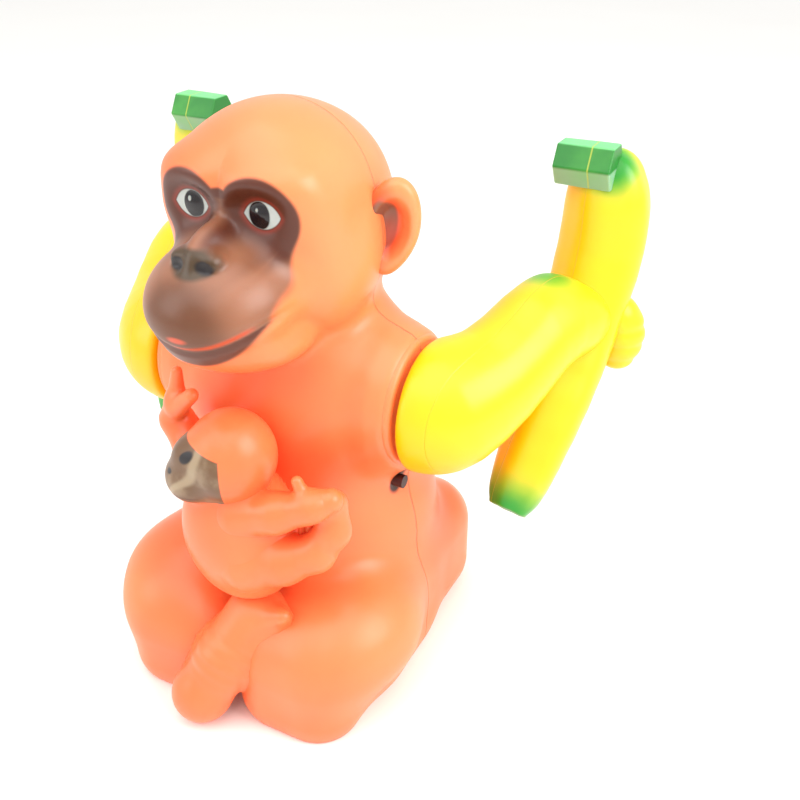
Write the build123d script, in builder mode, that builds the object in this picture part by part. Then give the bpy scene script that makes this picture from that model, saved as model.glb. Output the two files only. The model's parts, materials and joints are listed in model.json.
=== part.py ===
"""Wind-up ape with a baby, sitting, whose two arms swing round on one axle.

Frame: +Z up, the face looks along -Y, +X is the ape's left side.
The origin is on the floor, in the plane of symmetry, straight below the arm axle.
"""

import os
from math import acos, cos, pi, radians, sin, tan

from build123d import *

os.makedirs("parts", exist_ok=True)

# Body shells
wall = 2.0
hip_width = 92.0
lap_front = 58.0  # from the axle plane to the knees
seat_back = 50.0  # from the axle plane to the seat
lap_height = 39.0
hip_corner = 18.0
lap_round = 14.0
waist_width = 86.0
waist_height = 50.0
axle_height = 102.0
shoulder_face = 43.0  # from the plane of symmetry to the flat of each shoulder
shoulder_radius = 23.0
neck_rise = 24.0  # neck above the axle
head_rise = 56.0  # head centre above the axle
head_radius = 31.5
neck_half_width = 29.0

# Arms, held as centres (out from the shoulder's face, back, up from the axle) and radii
arm_gap = 1.5  # between the shoulder's flat and the arm's disc
arm_wall = 2.0
arm_centres = [
    (2, 0, -1, 19.6),
    (11, 1, 2, 19.0),
    (21, 14, 10, 16.3),
    (33, 46, 18, 12.6),
    (43, 62, 7, 9.0),
]
banana_centres = [
    (32, 60, 61, 9.0),
    (33, 63, 48, 11.0),
    (33, 62, 30, 12.2),
    (31, 52, 6, 12.0),
    (29, 36, -16, 10.5),
    (27, 22, -34, 8.0),
    (26, 15, -42, 4.6),
]
stalk_centre = (30, 54, 64)
stalk_length = 18.0
stalk_across_flats = 13.0
parting_start = 17.0  # out from the shoulder's face to the arm's parting plane
parting_slope = 0.28  # how far it moves out for each unit back
hub_radius = 6.0
hub_length = 12.0

# Ears and foot
ear_half_width = 8.0
ear_half_height = 14.0
ear_sink = 1.0  # how far each ear's middle stands out from the head's side

# Baby, glued to the belly: places are up from the axle, with radii
baby_back = (8.0, -42.0, -34.0)
baby_back_size = (15.0, 21.0)
baby_head = (3.0, -44.0, -6.0)
baby_head_size = (13.0, 14.0)
baby_snout = (-8.0, -49.0, -13.5)
baby_snout_size = (9.0, 8.0)
baby_arm = [(12, -48, -22, 6.2), (26, -46, -18, 5.2), (37, -41, -12, 5.0)]
baby_leg = [(14, -46, -42, 8.0), (36, -43, -34, 6.5), (41, -39, -27, 6.0), (39, -37, -16, 5.0)]
baby_far_arm = [(-2, -44, -14, 7.0), (-13, -38, -9, 5.2), (-16, -39, 2, 4.6)]

# Clockwork
module = 1.0
great_teeth = 54
pinion_teeth = 12
wheel_teeth = 30
axle_pinion_teeth = 12
governor_wheel_teeth = 36
governor_pinion_teeth = 10
pressure_angle = 20.0
tooth_share = 0.42  # tooth thickness over pitch, so the mesh has backlash
axle_diameter = 4.0
shaft_diameter = 3.0
arbor_diameter = 6.0
running_clearance = 0.05
plate_inner = 15.0  # from the plane of symmetry to each plate's inner face
plate_thickness = 1.6
plate_margin = 6.0
window_height = 8.0
window_corner = 3.0
pillar_radius = 2.6
pillar_gap = 1.5  # between a wheel's teeth and the pillars
great_pillar_angles = (-142.0, -38.0)  # from the arbor
upper_pillar_angle = 112.0  # from the axle
gear_gap = 2.2  # between a plate and what turns outside it
disc_width = 2.4
intermediate_angle = -65.0  # from +Y, seen along -X, from the axle
arbor_angle = -95.0  # from the intermediate shaft
governor_angle = 58.0
governor_radius = 6.5
spring_inner = 5.0
spring_pitch = 2.6
spring_strip = 0.8
spring_half_turns = 11
spring_width = 9.0

# Key
key_reach = 11.0
key_half_span = 13.0
key_thickness = 3.0
key_hub_radius = 4.0
key_corner = 4.0
key_gap = 2.0
key_hole_clear = 0.6

# Fixings
screw_radius = 1.3
post_radius = 4.0
post_sink = 1.0  # how far a base post runs into the shell's wall
head_height = 1.6
slot_width = 0.6
boss_height = 14.0  # of the two low bosses above the floor
head_boss_rise = 70.0  # of the boss in the head above the axle
boss_clear = 7.4  # from a plate to the bosses beside it
bush_radius = 5.0
flange_radius = 7.5
flange_thickness = 1.2
bush_margin = 3.0  # of each bush beyond the wall
base_thickness = 3.0
base_fit = 0.2
brake_radius = 10.0
brake_travel = 5.0
lever_length = 44.0
lever_back = 2.0  # the pivot behind the axle plane
lever_half_width = 2.8
knob_height = 16.0  # above the lever's pivot
knob_radius = 2.2
knob_sink = 2.5  # how far its end is inside the shoulder's flat
slot_clearance = 1.2
slot_depth = 16.0
pin_radius = 1.2
collar_radius = 2.4

axle_radius = axle_diameter / 2
shaft_radius = shaft_diameter / 2
arbor_radius = arbor_diameter / 2
plate_outer = plate_inner + plate_thickness


def polar(origin, distance, angle):
    """A (y, z) point at a distance and an angle from another."""
    return (origin[0] + distance * cos(radians(angle)), origin[1] + distance * sin(radians(angle)))


def centre_distance(teeth_a, teeth_b):
    return module * (teeth_a + teeth_b) / 2


axle_at = (0.0, axle_height)
intermediate_at = polar(axle_at, centre_distance(wheel_teeth, axle_pinion_teeth), intermediate_angle)
arbor_at = polar(intermediate_at, centre_distance(great_teeth, pinion_teeth), arbor_angle)
governor_at = polar(
    axle_at, centre_distance(governor_wheel_teeth, governor_pinion_teeth), governor_angle
)


def side_plane(x, at):
    """A plane square to X through a (y, z) point: its own x is +Y and its own y is +Z."""
    return Plane(origin=(x, at[0], at[1]), x_dir=(0, 1, 0), z_dir=(1, 0, 0))


def disc(radius, start, length, at, bore=0.0):
    """A cylinder along X, with a bore if one is given."""
    with BuildPart() as body:
        with BuildSketch(side_plane(start, at)):
            Circle(radius)
            if bore:
                Circle(bore, mode=Mode.SUBTRACT)
        extrude(amount=length)
    return body.part


def post(radius, start, end, bore=0.0):
    """A cylinder between two points, with a bore if one is given."""
    run = Vector(*end) - Vector(*start)
    with BuildPart() as body:
        with BuildSketch(Plane(origin=start, z_dir=run)):
            Circle(radius)
            if bore:
                Circle(bore, mode=Mode.SUBTRACT)
        extrude(amount=run.length)
    return body.part


def spheroid(radius, half_height):
    """An ellipse turned about Z."""
    with BuildPart() as body:
        with BuildSketch(Plane.XZ):
            with BuildLine():
                EllipticalCenterArc((0, 0), radius, half_height, start_angle=-90, arc_size=180)
                Line((0, half_height), (0, -half_height))
            make_face()
        revolve(axis=Axis.Z)
    return body.part


def limb(centres, inset=0.0):
    """Balls joined by cones, all drawn in by the inset."""
    with BuildPart() as body:
        for x, y, z, radius in centres:
            with Locations((x, y, z)):
                Sphere(radius - inset)
        for start, end in zip(centres[:-1], centres[1:]):
            run = Vector(*end[:3]) - Vector(*start[:3])
            with Locations(Plane(origin=start[:3], z_dir=run)):
                Cone(
                    start[3] - inset,
                    end[3] - inset,
                    run.length,
                    align=(Align.CENTER, Align.CENTER, Align.MIN),
                )
    return body.part


# The works set how deep the trunk is above the waist
governor_wheel_clear = module * (governor_wheel_teeth + 2) / 2 + pillar_radius + pillar_gap
works_depth = governor_wheel_clear + pillar_radius

# Height, half width, half depth, middle and corner of the trunk's sections
trunk_sections = [
    (lap_height - 12, waist_width / 2, works_depth + 14.3, 6.0, 26.0),
    (waist_height, waist_width / 2, works_depth + 13.3, 6.0, 28.0),
    (axle_height - 27, shoulder_face - 1, works_depth + 9.3, 3.0, shoulder_face - 15),
    (axle_height - 4, shoulder_face - 3, works_depth + 6.3, 2.0, shoulder_face - 17),
    (axle_height + 10, shoulder_face - 7, works_depth + 2.3, 2.0, shoulder_face - 18),
    (axle_height + 18, neck_half_width + 5, works_depth + 0.3, 2.0, 24.0),
    (axle_height + neck_rise, neck_half_width, works_depth - 1.7, 2.0, 22.5),
    (axle_height + neck_rise + 10, neck_half_width - 3, works_depth - 2.7, 2.0, 21.5),
]
muzzle_centres = [
    (0, -14, axle_height + 44, 26.0),
    (0, -38, axle_height + 42, 18.5),
]


def body_form(inset=0.0):
    """The outside of both shells, drawn in by the inset, and open below if it is drawn in."""
    floor = -1.0 if inset else 0.0
    depth = lap_front + seat_back
    with BuildPart() as form:
        with BuildSketch(Plane((0, (seat_back - lap_front) / 2, floor))):
            RectangleRounded(hip_width - 2 * inset, depth - 2 * inset, hip_corner - inset)
        extrude(amount=lap_height - inset - floor)
        fillet(form.faces().sort_by(Axis.Z)[-1].edges(), lap_round)
        for height, half_width, half_depth, middle, corner in trunk_sections:
            with BuildSketch(Plane((0, middle, height))):
                RectangleRounded(
                    2 * (half_width - inset), 2 * (half_depth - inset), corner - inset
                )
        loft(ruled=True)
        with Locations((0, 0, axle_height + head_rise)):
            Sphere(head_radius - inset)
        add(limb(muzzle_centres, inset))
        shoulder = shoulder_face - inset
        add(disc(shoulder_radius - inset, -shoulder, 2 * shoulder, axle_at))
    return form.part


# Shells: the outside less the inside, parted in the plane of the axle
outer_form = body_form()
inner_form = body_form(wall)

ear_at = (head_radius + ear_sink, 2.0, axle_height + head_rise - 1)
foot_centres = [(8, -42, 27, 9.0), (-2, -54, 19, 9.6), (-6, -60, 11, 9.2)]

boss_x = plate_outer + boss_clear + post_radius
shell_screws_at = [
    (-boss_x, boss_height),
    (boss_x, boss_height),
    (0.0, axle_height + head_boss_rise),
]
head_clear = 2.6  # radius of the screw's head hole
boss_depth = 6.0
screw_length = 16.0
base_post_x = hip_width / 2 - wall - post_radius + post_sink
base_posts_at = [(side * base_post_x, y) for side in (-1, 1) for y in (-22.0, 26.0)]
base_head_clear = 2.8
base_head_depth = head_height + 0.2
base_post_height = 18.0
foot_width = 6.0
great_clear = module * (great_teeth + 2) / 2 + pillar_radius + pillar_gap
lower_pillars = [polar(arbor_at, great_clear, angle) for angle in great_pillar_angles]
plate_front = lower_pillars[0][0] - plate_margin
plate_foot_back = lower_pillars[1][0] + plate_margin
plate_back = governor_wheel_clear + pillar_radius + 1
plate_feet_at = [plate_front + foot_width, plate_foot_back - foot_width]
foot_screw_x = plate_outer + foot_width / 2
plate_feet_screws_at = [(side * foot_screw_x, y) for side in (-1, 1) for y in plate_feet_at]
lever_pivot = (lever_back, axle_height - lever_length)
lever_tip = (-brake_radius - brake_travel - lever_half_width, axle_height)
knob_share = knob_height / lever_length
lever_knob = (
    lever_pivot[0] + (lever_tip[0] - lever_pivot[0]) * knob_share,
    lever_pivot[1] + knob_height,
)
knob_travel = brake_travel * knob_share

with BuildPart() as whole_shell:
    add(outer_form)
    for side in (-1, 1):
        with Locations((side * ear_at[0], ear_at[1], ear_at[2])):
            add(spheroid(ear_half_width, ear_half_height))
    add(limb(foot_centres))
    with Locations((0, 0, -20)):
        Box(200, 300, 40, mode=Mode.SUBTRACT)
    add(inner_form, mode=Mode.SUBTRACT)
    for x, y in base_posts_at:
        top = base_thickness + base_post_height
        add(post(post_radius, (x, y, base_thickness), (x, y, top), screw_radius))

with BuildPart() as front_shell:
    add(whole_shell.part)
    split(bisect_by=Plane.XZ, keep=Keep.TOP)
    for x, z in shell_screws_at:
        with BuildSketch(Plane.XZ):
            with Locations((x, z)):
                Circle(post_radius)
        extrude(until=Until.NEXT)
        with BuildSketch(Plane.XZ):
            with Locations((x, z)):
                Circle(screw_radius)
        extrude(amount=screw_length - boss_depth + 4, mode=Mode.SUBTRACT)
    add(disc(bush_radius, -shoulder_face, 2 * shoulder_face, axle_at), mode=Mode.SUBTRACT)
    with BuildSketch(side_plane(shoulder_face - slot_depth, lever_knob)):
        with Locations((knob_travel / 2, 0)):
            SlotCenterToCenter(
                knob_travel + slot_clearance, 2 * (knob_radius + slot_clearance)
            )
    extrude(amount=slot_depth + post_radius, mode=Mode.SUBTRACT)
front_shell.part.label = "front_shell"

with BuildPart() as back_shell:
    add(whole_shell.part)
    split(bisect_by=Plane.XZ, keep=Keep.BOTTOM)
    for x, z in shell_screws_at:
        with BuildSketch(Plane.ZX):
            with Locations((z, x)):
                Circle(post_radius)
        extrude(until=Until.NEXT)
        with BuildSketch(Plane.ZX):
            with Locations((z, x)):
                Circle(screw_radius)
        extrude(amount=boss_depth, mode=Mode.SUBTRACT)
        with BuildSketch(Plane.ZX.offset(boss_depth)):
            with Locations((z, x)):
                Circle(head_clear)
        extrude(amount=seat_back, mode=Mode.SUBTRACT)
    add(disc(bush_radius, -shoulder_face, 2 * shoulder_face, axle_at), mode=Mode.SUBTRACT)
    key_hole_start = -waist_width / 2 - key_gap
    add(
        disc(key_hub_radius + key_hole_clear, key_hole_start, 4 * wall, arbor_at),
        mode=Mode.SUBTRACT,
    )
back_shell.part.label = "back_shell"

# Baby: head, snout, back, an arm and a leg on the one side, a hand on the other
with BuildPart() as baby:
    for middle, size in (
        (baby_back, baby_back_size),
        (baby_head, baby_head_size),
        (baby_snout, baby_snout_size),
    ):
        with Locations((middle[0], middle[1], axle_height + middle[2])):
            add(spheroid(*size))
    for stations in (baby_arm, baby_leg, baby_far_arm):
        add(limb([(x, y, axle_height + z, radius) for x, y, z, radius in stations]))
    add(outer_form, mode=Mode.SUBTRACT)
baby.part.label = "baby"

# Base and fixings of the shells
with BuildPart() as base_plate:
    with BuildSketch(Plane((0, (seat_back - lap_front) / 2, 0))):
        clear = wall + base_fit
        RectangleRounded(
            hip_width - 2 * clear, lap_front + seat_back - 2 * clear, hip_corner - clear
        )
    extrude(amount=base_thickness)
    for x, y in base_posts_at + plate_feet_screws_at:
        add(post(screw_radius, (x, y, 0), (x, y, base_thickness)), mode=Mode.SUBTRACT)
    for x, y in base_posts_at:
        add(post(base_head_clear, (x, y, 0), (x, y, base_head_depth)), mode=Mode.SUBTRACT)
base_plate.part.label = "base_plate"


def screw(head, length, start, direction):
    """A pan head and a shank; the start is under the head, the direction is the shank's."""
    way = Vector(*direction)
    at = Vector(*start)
    with BuildPart() as body:
        with BuildSketch(Plane(origin=at - way * head_height, z_dir=way)):
            Circle(head)
        extrude(amount=head_height)
        with BuildSketch(Plane(origin=at, z_dir=way)):
            Circle(screw_radius)
        extrude(amount=length)
        with BuildSketch(Plane(origin=at - way * head_height, z_dir=way)):
            Rectangle(head * 1.2, slot_width)
        extrude(amount=head_height / 2, mode=Mode.SUBTRACT)
    return body.part


with BuildPart() as base_screws:
    for x, y in base_posts_at:
        add(screw(base_head_clear - 0.3, 10.0, (x, y, base_head_depth), (0, 0, 1)))
base_screws.part.label = "base_screws"

with BuildPart() as shell_screws:
    for x, z in shell_screws_at:
        add(screw(head_clear - 0.2, screw_length, (x, boss_depth, z), (0, -1, 0)))
shell_screws.part.label = "shell_screws"

with BuildPart() as shoulder_bushes:
    bush_bore = axle_radius + running_clearance
    bush_length = wall + bush_margin
    for start in (-shoulder_face, shoulder_face - bush_length):
        add(disc(bush_radius, start, bush_length, axle_at, bush_bore))
    for start in (-shoulder_face + wall, shoulder_face - wall - flange_thickness):
        add(disc(flange_radius, start, flange_thickness, axle_at, bush_bore))
shoulder_bushes.part.label = "shoulder_bushes"

# Frame of the clockwork: two plates on feet, four pillars
plate_top = governor_at[1] + plate_margin
plate_window = base_thickness + plate_thickness + window_height
upper_pillar = polar(axle_at, governor_wheel_clear, upper_pillar_angle)
back_pillar = (governor_wheel_clear, axle_height + 2)
pillars_at = lower_pillars + [upper_pillar, back_pillar]


def frame_plate(side):
    """A plate with its foot bent outwards; the side is 1 on the left and -1 on the right."""
    start = plate_inner if side > 0 else -plate_outer
    with BuildPart() as body:
        with BuildSketch(side_plane(start, (0, 0))):
            with BuildLine():
                Polyline(
                    (plate_front, base_thickness),
                    (plate_foot_back, base_thickness),
                    (plate_foot_back, lower_pillars[1][1] + plate_margin),
                    (plate_back, arbor_at[1] + great_clear - plate_margin),
                    (plate_back, back_pillar[1] + pillar_radius + 1),
                    (governor_at[0] + pillar_radius + 1, plate_top),
                    (upper_pillar[0] - pillar_radius, plate_top),
                    (-works_depth + plate_margin, axle_height + plate_margin),
                    (plate_front, lower_pillars[0][1] + plate_margin),
                    close=True,
                )
            make_face()
            with Locations(((plate_front + plate_foot_back) / 2, plate_window)):
                RectangleRounded(
                    plate_foot_back - plate_front - 5 * plate_margin,
                    window_height,
                    window_corner,
                    mode=Mode.SUBTRACT,
                )
        extrude(amount=plate_thickness)
        foot_start = plate_inner if side > 0 else -plate_outer - foot_width
        with BuildSketch(Plane.XY.offset(base_thickness)):
            with Locations((foot_start, plate_front)):
                Rectangle(
                    foot_width + plate_thickness,
                    plate_foot_back - plate_front,
                    align=(Align.MIN, Align.MIN),
                )
        extrude(amount=plate_thickness)
        for at, radius in bearings:
            add(disc(radius, start - 1, plate_thickness + 2, at), mode=Mode.SUBTRACT)
        for at in pillars_at:
            add(disc(screw_radius, start - 1, plate_thickness + 2, at), mode=Mode.SUBTRACT)
        for y in plate_feet_at:
            x = side * foot_screw_x
            foot_top = base_thickness + plate_thickness
            add(post(screw_radius, (x, y, 0), (x, y, foot_top)), mode=Mode.SUBTRACT)
        if side > 0:
            add(disc(pin_radius, start - 1, plate_thickness + 2, lever_pivot), mode=Mode.SUBTRACT)
    return body.part


bearings = [
    (axle_at, axle_radius + running_clearance),
    (intermediate_at, shaft_radius + running_clearance),
    (arbor_at, arbor_radius + running_clearance),
    (governor_at, shaft_radius + running_clearance),
]

with BuildPart() as left_plate:
    add(frame_plate(1))
left_plate.part.label = "left_plate"

with BuildPart() as right_plate:
    add(frame_plate(-1))
right_plate.part.label = "right_plate"

with BuildPart() as frame_pillars:
    for at in pillars_at:
        add(disc(pillar_radius, -plate_inner, 2 * plate_inner, at, screw_radius))
frame_pillars.part.label = "frame_pillars"

with BuildPart() as pillar_screws:
    for y, z in pillars_at:
        add(screw(2.5, 8.0, (plate_outer, y, z), (-1, 0, 0)))
        add(screw(2.5, 8.0, (-plate_outer, y, z), (1, 0, 0)))
pillar_screws.part.label = "pillar_screws"

foot_screw_length = plate_thickness + base_thickness
with BuildPart() as foot_screws:
    for x, y in plate_feet_screws_at:
        add(screw(2.4, foot_screw_length, (x, y, base_thickness + plate_thickness), (0, 0, -1)))
foot_screws.part.label = "foot_screws"


def involute(angle):
    return tan(angle) - angle


def gear(teeth, start, width, at, bore, tooth_angle, windows=0):
    """A spur gear square to X with one tooth centred at the tooth angle."""
    pitch_radius = module * teeth / 2
    base_radius = pitch_radius * cos(radians(pressure_angle))
    half_tooth = pi * tooth_share / teeth
    radii = [pitch_radius - 1.15 * module, pitch_radius, pitch_radius + 0.9 * module]
    flank = []
    for radius in radii:
        lean = 0.0
        if radius > base_radius:
            lean = involute(acos(base_radius / radius))
        half = half_tooth + involute(radians(pressure_angle)) - lean
        flank.append((radius, half))
    outline = []
    for tooth in range(teeth):
        middle = radians(tooth_angle) + 2 * pi * tooth / teeth
        for radius, half in flank:
            outline.append((radius * cos(middle - half), radius * sin(middle - half)))
        for radius, half in reversed(flank):
            outline.append((radius * cos(middle + half), radius * sin(middle + half)))
    with BuildPart() as body:
        with BuildSketch(side_plane(start, at)):
            with BuildLine():
                Polyline(*outline, close=True)
            make_face()
            Circle(bore, mode=Mode.SUBTRACT)
            if windows:
                with PolarLocations(pitch_radius * 0.6, windows):
                    Circle(pitch_radius * 0.2, mode=Mode.SUBTRACT)
        extrude(amount=width)
    return body.part


def gap_angle(angle, teeth):
    """The tooth angle that turns a gap towards the other wheel."""
    return angle + 180 + 180 / teeth


# Arm axle train
axle_end = shoulder_face + arm_gap + hub_length
with BuildPart() as arm_axle:
    add(disc(axle_radius, -axle_end, 2 * axle_end, axle_at))
    for start in (-axle_end, axle_end - 8):
        add(disc(screw_radius, start, 8, axle_at), mode=Mode.SUBTRACT)
arm_axle.part.label = "arm_axle"

with BuildPart() as axle_pinion:
    add(gear(axle_pinion_teeth, -5, 6, axle_at, axle_radius, intermediate_angle))
axle_pinion.part.label = "axle_pinion"

with BuildPart() as governor_wheel:
    add(gear(governor_wheel_teeth, 5, 2.5, axle_at, axle_radius, governor_angle, 5))
governor_wheel.part.label = "governor_wheel"

with BuildPart() as brake_disc:
    add(disc(brake_radius, plate_outer + gear_gap, disc_width, axle_at, axle_radius))
brake_disc.part.label = "brake_disc"

# Intermediate shaft
shaft_start = -plate_outer - 1
shaft_length = 2 * (plate_outer + 1)
with BuildPart() as intermediate_shaft:
    add(disc(shaft_radius, shaft_start, shaft_length, intermediate_at))
intermediate_shaft.part.label = "intermediate_shaft"

wheel_phase = gap_angle(intermediate_angle, wheel_teeth)
with BuildPart() as intermediate_wheel:
    add(gear(wheel_teeth, -4, 3, intermediate_at, shaft_radius, wheel_phase, 5))
intermediate_wheel.part.label = "intermediate_wheel"

with BuildPart() as intermediate_pinion:
    add(gear(pinion_teeth, -13, 7, intermediate_at, shaft_radius, arbor_angle))
intermediate_pinion.part.label = "intermediate_pinion"

# Spring arbor, great wheel and key
flank = waist_width / 2
key_start = -flank - key_gap - key_reach
with BuildPart() as spring_arbor:
    add(disc(arbor_radius, key_start + 2, plate_outer + 1 - key_start - 2, arbor_at))
spring_arbor.part.label = "spring_arbor"

great_phase = gap_angle(arbor_angle, great_teeth)
with BuildPart() as great_wheel:
    add(gear(great_teeth, -12, 3.5, arbor_at, arbor_radius, great_phase, 6))
great_wheel.part.label = "great_wheel"

ratchet_start = -8.5
ratchet_teeth = 12
ratchet_outer = arbor_radius + 4.5
ratchet_inner = arbor_radius + 2.8
with BuildPart() as ratchet_wheel:
    with BuildSketch(side_plane(ratchet_start, arbor_at)):
        with BuildLine():
            points = []
            for tooth in range(ratchet_teeth):
                turn = 2 * pi * tooth / ratchet_teeth
                points.append((ratchet_outer * cos(turn), ratchet_outer * sin(turn)))
                points.append((ratchet_inner * cos(turn), ratchet_inner * sin(turn)))
            Polyline(*points, close=True)
        make_face()
        Circle(arbor_radius, mode=Mode.SUBTRACT)
    extrude(amount=2)
ratchet_wheel.part.label = "ratchet_wheel"

click_pivot = polar(arbor_at, 15.0, 50.0)
click_nose = polar(arbor_at, ratchet_outer + 0.5, 10.0)
with BuildPart() as ratchet_click:
    with BuildSketch(side_plane(ratchet_start, (0, 0))):
        with Locations(click_pivot):
            Circle(2.2)
        with BuildLine():
            Polyline(
                click_nose,
                polar(click_nose, 1.6, 20.0),
                polar(click_pivot, 2.0, 10.0),
                polar(click_pivot, 2.0, 190.0),
                close=True,
            )
        make_face()
        with Locations(click_pivot):
            Circle(0.8, mode=Mode.SUBTRACT)
    extrude(amount=1.6)
    add(disc(0.8, ratchet_start, 2.2, click_pivot))
ratchet_click.part.label = "ratchet_click"

with BuildPart() as mainspring:
    with BuildSketch(side_plane(2.5, arbor_at)):
        with BuildLine():
            for edge in (spring_strip / 2, -spring_strip / 2):
                for turn in range(spring_half_turns):
                    radius = spring_inner + turn * spring_pitch / 2 + edge
                    middle = spring_pitch / 2 * (turn % 2)
                    CenterArc((middle, 0), radius, 180 * (turn % 2), 180)
            last = spring_half_turns - 1
            end_radius = spring_inner + last * spring_pitch / 2
            end_middle = spring_pitch / 2 * (last % 2)
            end_side = -1 if last % 2 == 0 else 1
            end_x = end_middle + end_side * end_radius
            half_strip = spring_strip / 2
            Line((end_x - half_strip, 0), (end_x + half_strip, 0))
            Line((spring_inner - half_strip, 0), (spring_inner + half_strip, 0))
        make_face()
    extrude(amount=spring_width)
mainspring.part.label = "mainspring"

wing_plane = Plane(
    origin=(key_start + key_reach / 2, arbor_at[0] + key_thickness / 2, arbor_at[1]),
    x_dir=(1, 0, 0),
    z_dir=(0, -1, 0),
)
with BuildPart() as winding_key:
    add(disc(key_hub_radius, key_start, key_reach, arbor_at))
    with BuildSketch(wing_plane):
        RectangleRounded(key_reach, 2 * key_half_span, key_corner)
    extrude(amount=key_thickness)
    add(disc(arbor_radius, key_start + 2, key_reach, arbor_at), mode=Mode.SUBTRACT)
winding_key.part.label = "winding_key"

# Governor
with BuildPart() as governor_shaft:
    add(disc(shaft_radius, shaft_start, shaft_length, governor_at))
governor_shaft.part.label = "governor_shaft"

governor_phase = gap_angle(governor_angle, governor_pinion_teeth)
with BuildPart() as governor_pinion:
    add(gear(governor_pinion_teeth, 4, 5, governor_at, shaft_radius, governor_phase))
governor_pinion.part.label = "governor_pinion"

with BuildPart() as governor_fan:
    add(disc(3.0, -11, 9, governor_at, shaft_radius))
    for turn in (0, 180):
        blade_middle = polar(governor_at, governor_radius / 2 + 1, turn + governor_angle)
        blade_plane = side_plane(-11, blade_middle)
        with BuildSketch(blade_plane):
            Rectangle(governor_radius - 2, 1.6, rotation=turn + governor_angle)
        extrude(amount=9)
governor_fan.part.label = "governor_fan"

# Stop lever on the left plate, with its knob through the slot in the front shell
lever_start = plate_outer + gear_gap
lever_thickness = 1.6
lever_end = lever_start + lever_thickness
play = 0.2  # between the lever and the collars beside it
with BuildPart() as stop_lever:
    with BuildSketch(side_plane(lever_start, (0, 0))):
        with BuildLine():
            Polyline(lever_pivot, lever_knob, lever_tip)
            offset(amount=lever_half_width, kind=Kind.ARC)
        make_face()
    extrude(amount=lever_thickness)
    add(disc(knob_radius, lever_start, shoulder_face - knob_sink - lever_start, lever_knob))
    add(
        disc(pin_radius + running_clearance, lever_start, lever_thickness, lever_pivot),
        mode=Mode.SUBTRACT,
    )
stop_lever.part.label = "stop_lever"

with BuildPart() as lever_pin:
    pin_length = lever_end + play + flange_thickness - plate_inner
    add(disc(pin_radius, plate_inner, pin_length, lever_pivot))
    add(disc(collar_radius, plate_outer, lever_start - play - plate_outer, lever_pivot))
    add(disc(collar_radius, lever_end + play, flange_thickness, lever_pivot))
lever_pin.part.label = "lever_pin"


# Arms: two half shells each, parted along the banana, with a hub on the inner half
def placed(centres):
    """Centres given from the shoulder's face and the axle, as points and radii."""
    return [(shoulder_face + x, y, axle_height + z, radius) for x, y, z, radius in centres]


def stalk(inset=0.0):
    """The hexagonal stalk of the bananas, along X."""
    x, y, z = stalk_centre
    with BuildPart() as body:
        plane = side_plane(shoulder_face + x - stalk_length / 2 + inset, (y, axle_height + z))
        with BuildSketch(plane):
            RegularPolygon(stalk_across_flats / 2 - inset, 6, major_radius=False, rotation=0)
        extrude(amount=stalk_length - 2 * inset)
    return body.part


def arm_form(inset=0.0):
    with BuildPart() as form:
        add(limb(placed(arm_centres), inset))
        add(limb(placed(banana_centres), inset))
        with Locations((shoulder_face + arm_gap + inset, 0, axle_height)):
            Box(100, 200, 300, align=(Align.MAX, Align.CENTER, Align.CENTER), mode=Mode.SUBTRACT)
        add(stalk(inset))
    return form.part


parting = Plane(
    origin=(shoulder_face + parting_start, 0, axle_height),
    x_dir=(0, 0, 1),
    z_dir=(1, -parting_slope, 0),
)
arm_face = shoulder_face + arm_gap

with BuildPart() as arm_shell:
    add(arm_form())
    add(arm_form(arm_wall), mode=Mode.SUBTRACT)

with BuildPart() as left_arm_inner:
    add(arm_shell.part)
    split(bisect_by=parting, keep=Keep.BOTTOM)
    add(disc(hub_radius, arm_face, hub_length, axle_at))
    add(disc(axle_radius, arm_face - 1, hub_length + 2, axle_at), mode=Mode.SUBTRACT)
left_arm_inner.part.label = "left_arm_inner"

with BuildPart() as left_arm_outer:
    add(arm_shell.part)
    split(bisect_by=parting, keep=Keep.TOP)
left_arm_outer.part.label = "left_arm_outer"

with BuildPart() as right_arm_inner:
    mirror(left_arm_inner.part, about=Plane.YZ)
right_arm_inner.part.label = "right_arm_inner"

with BuildPart() as right_arm_outer:
    mirror(left_arm_outer.part, about=Plane.YZ)
right_arm_outer.part.label = "right_arm_outer"

with BuildPart() as arm_screws:
    for side in (-1, 1):
        add(screw(3.4, 7.0, (side * axle_end, 0, axle_height), (-side, 0, 0)))
arm_screws.part.label = "arm_screws"

for piece in (
    front_shell,
    back_shell,
    baby,
    base_plate,
    base_screws,
    shell_screws,
    shoulder_bushes,
    left_plate,
    right_plate,
    frame_pillars,
    pillar_screws,
    foot_screws,
    arm_axle,
    axle_pinion,
    governor_wheel,
    brake_disc,
    intermediate_shaft,
    intermediate_wheel,
    intermediate_pinion,
    spring_arbor,
    great_wheel,
    ratchet_wheel,
    ratchet_click,
    mainspring,
    winding_key,
    governor_shaft,
    governor_pinion,
    governor_fan,
    stop_lever,
    lever_pin,
    left_arm_inner,
    left_arm_outer,
    right_arm_inner,
    right_arm_outer,
    arm_screws,
):
    export_step(piece.part, f"parts/{piece.part.label}.step")
    print(piece.part.label, round(piece.part.volume))
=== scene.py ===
import json
import math

import bpy
import numpy as np
from mathutils import Matrix, Vector


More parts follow.
